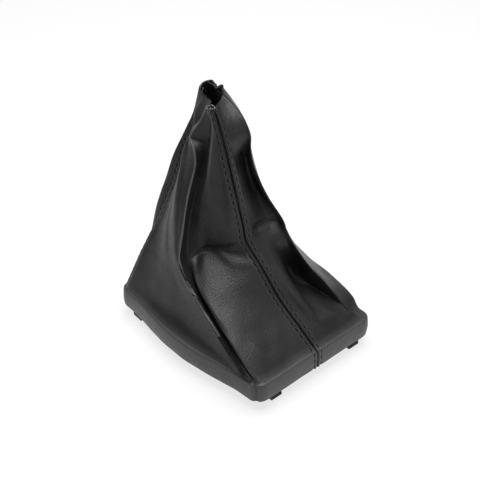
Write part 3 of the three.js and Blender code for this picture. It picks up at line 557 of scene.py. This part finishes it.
def leatherMaterial(s):
    material, tree, shader = plainMaterial("leather", s["light"], s["roughness"][0])
    shader.inputs["Specular IOR Level"].default_value = s["specular"]
    texture = addNode(tree, "ShaderNodeGroup", (-900, 0), node_tree=grainGroup(grain))
    marks = addNode(tree, "ShaderNodeGroup", (-900, -350), node_tree=stitchGroup(relief, stitchLook))
    color = mixNode(tree, (-500, 100), s["dark"], s["light"])
    # painted sheen: a lighter colour on the band over the frame
    sheenMix = mixNode(tree, (-430, 600), b=s["paintedBandSheen"])
    # painted highlight on the fold's crest, mixed with the pale worn ring round the stitches
    wearAndHighlight = mixNode(tree, (-370, 300), b=s["wearAndHighlight"])
    # painted shade: nearly black in the seams and the spots under the stitches
    shade = mixNode(tree, (-250, 100), b=s["paintedSeamShade"])
    # mask of the painted sheen on the band
    sheenMask = attributeValue(tree, (-900, 650), "paintedSheen")
    sheenMask = mathNode(tree, "MULTIPLY", (-600, 650), sheenMask, s["paintedSheenShare"])
    # mask of the painted highlight along the fold's crest
    crest = rampNode(tree, (-600, 450), attributeValue(tree, (-900, 450), "crestAway"), *s["crest"])
    ring = mathNode(tree, "MULTIPLY", (-600, -450), marks.outputs["Worn"], s["wornRing"])
    # strength of the painted shade in the seams and under the stitches
    paintedSeamShade = mathNode(tree, "MULTIPLY", (-600, -250), marks.outputs["PaintedShade"], s["seamShade"])
    rough = rampNode(tree, (-500, -100), texture.outputs["Furrow"], 0.0, 1.0, *s["roughness"])
    joinNodes(tree, (texture.outputs["Tone"], color.inputs["Factor"]),
              (color.outputs["Result"], sheenMix.inputs["A"]), (sheenMask, sheenMix.inputs["Factor"]),
              (sheenMix.outputs["Result"], wearAndHighlight.inputs["A"]),
              (mathNode(tree, "MAXIMUM", (-450, 450), crest, ring), wearAndHighlight.inputs["Factor"]),
              (wearAndHighlight.outputs["Result"], shade.inputs["A"]), (paintedSeamShade, shade.inputs["Factor"]),
              (shade.outputs["Result"], shader.inputs["Base Color"]),
              (mathNode(tree, "MAXIMUM", (-250, -150), rough, marks.outputs["PaintedShade"]),
               shader.inputs["Roughness"]),
              (texture.outputs["Normal"], shader.inputs["Normal"]))
    return material


# raw cut edge of the leather: pale fibres, mottled along the edge
rawLook = {"plain": (0.12, 0.12, 0.123), "roughness": 0.85, "fibres": 900, "detail": 4,
           "dark": (0.04, 0.04, 0.041), "light": (0.24, 0.24, 0.244), "mottle": (0.35, 0.65)}


def rawEdgeMaterial(s):
    material, tree, shader = plainMaterial("leatherRawEdge", s["plain"], s["roughness"])
    fibre = addNode(tree, "ShaderNodeTexNoise", (-700, 0))
    fibre.inputs["Scale"].default_value = s["fibres"]
    fibre.inputs["Detail"].default_value = s["detail"]
    color = mixNode(tree, (-300, 0), s["dark"], s["light"])
    place = addNode(tree, "ShaderNodeTexCoord", (-900, 0)).outputs["Object"]
    joinNodes(tree, (place, fibre.inputs["Vector"]),
              (rampNode(tree, (-500, 0), fibre.outputs[0], *s["mottle"]), color.inputs["Factor"]),
              (color.outputs["Result"], shader.inputs["Base Color"]))
    return material


# thread: twisted strands as a fine wave from dark to light shares of its colour, dull black
threadLook = {"color": (0.008, 0.008, 0.0083), "roughness": 0.8, "specular": 0.2, "twists": 900, "dark": 0.6,
              "light": 1.3, "strength": 0.4, "depth": 0.00008}


def threadMaterial(s):
    material, tree, shader = plainMaterial("blackThread", s["color"], s["roughness"])
    shader.inputs["Specular IOR Level"].default_value = s["specular"]
    place = addNode(tree, "ShaderNodeTexCoord", (-900, 0)).outputs["Object"]
    twist = addNode(tree, "ShaderNodeTexWave", (-700, 0))
    twist.inputs["Scale"].default_value = s["twists"]
    tint = mixNode(tree, (-400, 150), *[[c * s[key] for c in s["color"]] for key in ("dark", "light")])
    bump = addNode(tree, "ShaderNodeBump", (-400, -150))
    bump.inputs["Strength"].default_value = s["strength"]
    bump.inputs["Distance"].default_value = s["depth"]
    joinNodes(tree, (place, twist.inputs["Vector"]), (twist.outputs[1], tint.inputs["Factor"]),
              (tint.outputs["Result"], shader.inputs["Base Color"]),
              (twist.outputs[1], bump.inputs["Height"]),
              (bump.outputs["Normal"], shader.inputs["Normal"]))
    return material


# moulded plastic: fine spark-eroded texture, satin black, rougher in the specks
plasticLook = {"color": (0.005, 0.005, 0.0052), "roughness": 0.4, "specular": 0.2, "specks": 2200,
               "strength": 0.25, "depth": 0.00005, "speckRoughness": (0.3, 0.7, 0.3, 0.48)}


def plasticMaterial(s):
    material, tree, shader = plainMaterial("framePlastic", s["color"], s["roughness"])
    shader.inputs["Specular IOR Level"].default_value = s["specular"]
    place = addNode(tree, "ShaderNodeTexCoord", (-900, 0)).outputs["Object"]
    speck = addNode(tree, "ShaderNodeTexNoise", (-700, 0))
    speck.inputs["Scale"].default_value = s["specks"]
    bump = addNode(tree, "ShaderNodeBump", (-400, -150))
    bump.inputs["Strength"].default_value = s["strength"]
    bump.inputs["Distance"].default_value = s["depth"]
    rough = rampNode(tree, (-400, 100), speck.outputs[0], *s["speckRoughness"])
    joinNodes(tree, (place, speck.inputs["Vector"]), (speck.outputs[0], bump.inputs["Height"]),
              (rough, shader.inputs["Roughness"]), (bump.outputs["Normal"], shader.inputs["Normal"]))
    return material


leather, rawEdge = leatherMaterial(leatherLook), rawEdgeMaterial(rawLook)
plastic, thread = plasticMaterial(plasticLook), threadMaterial(threadLook)
print("stage: materials made")


sharpAngle = math.radians(62)


# closed sheet as a mesh: its skins in the first material, its four edges in the given ones
def sheetMesh(name, outer, inner, materials, edgeMaterials, attributes):
    points, skins, edges = closedSheet(outer, inner)
    piece = linkMesh(name, points, np.concatenate(skins + edges), materials[0],
                     {key: np.concatenate([v.ravel(), v.ravel()]) for key, v in attributes.items()})
    for extra in materials[1:]:
        piece.data.materials.append(extra)
    which = [np.full(len(faces), m) for faces, m in zip(skins + edges, (0, 0, *edgeMaterials))]
    piece.data.polygons.foreach_set("material_index", np.concatenate(which).astype(np.int32))
    piece.data.set_sharp_from_angle(angle=sharpAngle)
    piece.data.update()
    return piece


# painted sheen on the leather pulled tight over the frame: 1 on the band, fading out from just below the
# shoulder; it lightens the colour there for the brighter reflection the band faces catch
paintedSheenFade = {"below": 1, "over": 5}


def paintedSheenOver(points):
    return 1 - np.clip((points[..., 2] - shoulderHeight + paintedSheenFade["below"]) / paintedSheenFade["over"], 0, 1)


# the three leather panels, each a closed sheet 1.3 mm thick, a little thicker where it is turned in
seamRows = {}
for name, plan in panelPlan.items():
    points, outward, away, along, crest = cutPanel(plan)
    outer = points + outward * leatherRelief(relief, points, away, along, crest)[..., None]
    thick = base["leather"] + relief["turnedIn"] * bell(away, relief["turnedInWidth"])
    inner = points - outward * thick[..., None]
    # the last attribute masks the painted sheen on the band
    marks = {"seamAway": away, "seamAlong": along, "crestAway": crest, "paintedSheen": paintedSheenOver(points)}
    piece = sheetMesh(name, outer, inner, [leather], (0, 0, 0, 0), marks)
    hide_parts(plan["node"])
    seamRows[name] = {"outer": outer, "inner": inner, "outward": outward, "along": along}
print("stage: leather panels made")


# stitches: beside each seam a row of short threads, each a bent rod that rises out of one hole and dips
# into the next: height = lift*sin(pi*t) - sink, thickness = radius*(ends + swell*sin(pi*t)); the rows end
# clear of the rim, and a stitch of six sides has each end closed by two quads
stitch = {"radius": 0.24, "length": 3.3, "lift": 0.34, "sink": 0.2, "sides": 6, "steps": 7, "ends": 0.55,
          "swell": 0.45, "clear": 3}


def stitchRow(s, row, column):
    path, out, along = row["outer"][:, column], row["outward"][:, column], row["along"][:, column]
    beside = row["outer"][:, column + 1] - row["outer"][:, column - 1]
    count = int((along[-1] - s["clear"] - along[bandCount]) // relief["pitch"])
    starts = (np.arange(1, count) + 0.5) * relief["pitch"] - s["length"] / 2
    t = np.linspace(0, 1, s["steps"])
    at = (starts[:, None] + t * s["length"]).ravel()
    take = lambda v: np.column_stack([np.interp(at, along, v[:, k]) for k in range(3)])
    centre, up, side = take(path), take(out), take(beside)
    up /= np.linalg.norm(up, axis=1, keepdims=True)
    side /= np.linalg.norm(side, axis=1, keepdims=True)
    arch = np.tile(np.sin(math.pi * t), len(starts))
    turn = np.linspace(0, 2 * math.pi, s["sides"], endpoint=False)[:, None]
    radius = s["radius"] * (s["ends"] + s["swell"] * arch)
    centre += up * (s["lift"] * arch - s["sink"])[:, None]
    spokes = np.cos(turn) * side[:, None] + np.sin(turn) * up[:, None]
    ring = centre[:, None] + radius[:, None, None] * spokes
    index = np.arange(ring.shape[0] * s["sides"]).reshape(len(starts), s["steps"], s["sides"])
    a, b = index[:, :-1], index[:, 1:]
    sides = np.stack([a, np.roll(a, -1, 2), np.roll(b, -1, 2), b], -1).reshape(-1, 4)
    caps = [index[:, 0, ::-1], index[:, -1]]
    fans = np.concatenate([c[:, pick] for c in caps for pick in ([0, 1, 2, 3], [0, 3, 4, 5])])
    return ring.reshape(-1, 3), np.concatenate([sides, fans])


def stitchPiece(name, rows):
    points, faces, total = [], [], 0
    for row, column in rows:
        p, f = stitchRow(stitch, seamRows[row], column)
        points.append(p)
        faces.append(f + total)
        total += len(p)
    piece = linkMesh(name, np.concatenate(points), np.concatenate(faces), thread)


# the rows run along the column that stands stitchAway from the seam, counted from either side
nearColumn = int(np.flatnonzero(seamColumns == relief["stitchAway"])[0])
farColumn = -1 - nearColumn
stitchPlan = {
    "rearStitches": [("leftPanel", nearColumn), ("rightPanel", farColumn)],
    "leftStitches": [("leftPanel", farColumn), ("frontPanel", nearColumn)],
    "rightStitches": [("frontPanel", farColumn), ("rightPanel", nearColumn)],
}
for name, rows in stitchPlan.items():
    stitchPiece(name, rows)
print("stage: stitches made")


# leather without stitch marks, crest or painted band sheen
def farFromSeam(shape):
    far, none = np.full(shape, farAway), np.zeros(shape)
    return {"seamAway": far, "seamAlong": none, "crestAway": far, "paintedSheen": none}


# seam allowances: the turned-in leather beside each seam, a strip inside the panel that reaches into the
# seam by reach times the width of its first three columns; over the last curlRows rows it curls away
# from the wall by curl * (share of the way up)^2 * (share across)^1.5
allowance = {"gap": 0.1, "thick": 0.7, "columns": 16, "curlRows": 22, "reach": 0.45}


def allowancePiece(s, panel, name, atStart, curl, bare):
    r = seamRows[panel]
    columns = slice(0, s["columns"]) if atStart else slice(-s["columns"], None)
    inner, out = r["inner"][bandCount:, columns], r["outward"][bandCount:, columns]
    up = np.clip((np.arange(len(inner)) - len(inner) + s["curlRows"]) / s["curlRows"], 0, 1)[:, None]
    across = np.linspace(0, 1, s["columns"])[None]
    across = across if atStart else across[:, ::-1]
    skin = inner - out * (s["gap"] + curl * up ** 2 * across ** 1.5)[..., None]
    first, second = (0, 3) if atStart else (-1, -4)
    skin[:, first] += s["reach"] * (skin[:, first] - skin[:, second])
    free = 3 if atStart else 2
    piece = sheetMesh(name, skin, skin - out * s["thick"], [leather, rawEdge],
                      [int(i == free and bare) for i in range(4)], farFromSeam(inner.shape[:2]))
    return piece


# per panel: name, whether it lies at the panel's first seam, curl in mm, whether its free edge is bare
allowancePlan = {
    "leftPanel": [("rearAllowanceLeft", True, 1.0, True), ("leftAllowanceRear", False, 1.5, False)],
    "frontPanel": [("leftAllowanceFront", True, 1.5, False), ("rightAllowanceFront", False, 2.5, True)],
    "rightPanel": [("rightAllowanceRear", True, 2.5, True), ("rearAllowanceRight", False, 1.0, False)],
}
allowances = {panel: [allowancePiece(allowance, panel, *item) for item in items]
              for panel, items in allowancePlan.items()}

# curled tab at the head of the rear seam: a strip of leather rolled into a small open loop, narrower and
# leaning towards the seam at its foot, with a wavy edge
tab = {"centre": (-3.2, 28.4), "radius": (2.9, 3.3), "low": 166, "high": 170.8, "thick": 0.8, "around": 40,
       "rows": 14, "opening": 0.05, "foot": 0.8, "widen": 0.2, "lean": (0.9, 1.5), "wave": 0.5}


def curledTab(s):
    turn = np.linspace(s["opening"], 2 * math.pi - s["opening"], s["around"])
    share = np.linspace(0, 1, s["rows"])[:, None]
    wide = s["foot"] + s["widen"] * share

    def skin(grow):
        x, y = [s["centre"][i] + (s["radius"][i] + grow) * wide * wave(turn) - s["lean"][i] * (1 - share)
                for i, wave in enumerate((np.cos, np.sin))]
        z = s["low"] + (s["high"] - s["low"]) * share + s["wave"] * np.sin(2 * turn)
        return np.stack([x, y, z], -1)

    piece = sheetMesh("neckTab", skin(0), skin(-s["thick"]), [leather, rawEdge], (1, 1, 1, 1),
                      farFromSeam((s["rows"], s["around"])))


curledTab(tab)
print("stage: seam allowances and neck tab made")

# the plastic frame keeps its solid from the CAD model and takes the moulded finish
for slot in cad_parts["base_frame"].material_slots:
    slot.material = plastic

# studio: a wide soft lamp above, a weaker one on the camera's side and a small one behind, all aimed at
# the middle of the object, a pale paper floor and surroundings that brighten towards the zenith
studio = {"horizon": 0.035, "zenith": 0.3, "sky": (-0.1, 0.8), "aim": (0, 0, 0.07),
          "floor": (0.9, 0.9, 0.9), "floorRoughness": 0.9, "floorSize": 16.0, "floorDrop": 0.05,
          "floorShadow": 0.25,
          "lamps": {"top": {"at": (0.1, 0.03, 1.0), "size": 0.85, "power": 12.5},
                    "front": {"at": (0.15, -1.15, 0.55), "size": 1.1, "power": 2.3},
                    "behind": {"at": (-0.45, 0.7, 0.92), "size": 0.4, "power": 1.5}}}


def aimedLamp(name, s, target):
    data = bpy.data.lights.new(name, "AREA")
    data.size, data.energy = s["size"], s["power"]
    lamp = bpy.data.objects.new(name, data)
    bpy.context.scene.collection.objects.link(lamp)
    lamp.location = s["at"]
    aim = np.array(target) - np.array(s["at"])
    flat = math.hypot(aim[0], aim[1])
    lamp.rotation_euler = (math.atan2(flat, -aim[2]), 0, math.atan2(-aim[0], aim[1]))


# 1 for rays from the eye, off glossy faces and through glass, 0 for all others
def seenRays(tree, at):
    rays = addNode(tree, "ShaderNodeLightPath", at).outputs
    first = mathNode(tree, "MAXIMUM", (at[0] + 200, at[1]), rays["Is Camera Ray"], rays["Is Glossy Ray"])
    return mathNode(tree, "MAXIMUM", (at[0] + 400, at[1]), first, rays["Is Transmission Ray"])


# floor paper: seen directly it mostly glows evenly, so that only a share of the shadow shows on it
def makeFloor(s):
    half, low = s["floorSize"] / 2 / mm, -s["floorDrop"]
    corners = np.array([(-half, -half, low), (half, -half, low), (half, half, low), (-half, half, low)])
    mesh = bpy.data.meshes.new("floor")
    mesh.from_pydata((corners * mm).tolist(), [], [[0, 1, 2, 3]])
    floor = bpy.data.objects.new("floor", mesh)
    bpy.context.scene.collection.objects.link(floor)
    material, tree, shader = plainMaterial("floorPaper", s["floor"], s["floorRoughness"])
    glow = addNode(tree, "ShaderNodeEmission", (0, -300))
    blend = addNode(tree, "ShaderNodeMixShader", (300, 0))
    share = mathNode(tree, "MULTIPLY", (100, 250), seenRays(tree, (-500, 250)), 1 - s["floorShadow"])
    joinNodes(tree, (share, blend.inputs[0]), (shader.outputs[0], blend.inputs[1]),
              (glow.outputs[0], blend.inputs[2]),
              (blend.outputs[0], tree.nodes["Material Output"].inputs["Surface"]))
    mesh.materials.append(material)


def makeStudio(s):
    for name, lamp in s["lamps"].items():
        aimedLamp(name + "Lamp", lamp, s["aim"])
    world = bpy.data.worlds.new("studioWorld")
    world.use_nodes = True
    bpy.context.scene.world = world
    tree = world.node_tree
    background = tree.nodes["Background"]
    background.inputs["Color"].default_value = (1, 1, 1, 1)
    split = addNode(tree, "ShaderNodeSeparateXYZ", (-500, 0))
    place = addNode(tree, "ShaderNodeTexCoord", (-700, 0)).outputs["Generated"]
    bright = rampNode(tree, (-300, 0), split.outputs["Z"], *s["sky"], s["horizon"], s["zenith"])
    joinNodes(tree, (place, split.inputs[0]), (bright, background.inputs["Strength"]))
    makeFloor(s)


makeStudio(studio)
bpy.context.scene.view_settings.view_transform = "Standard"
print("stage: studio made")
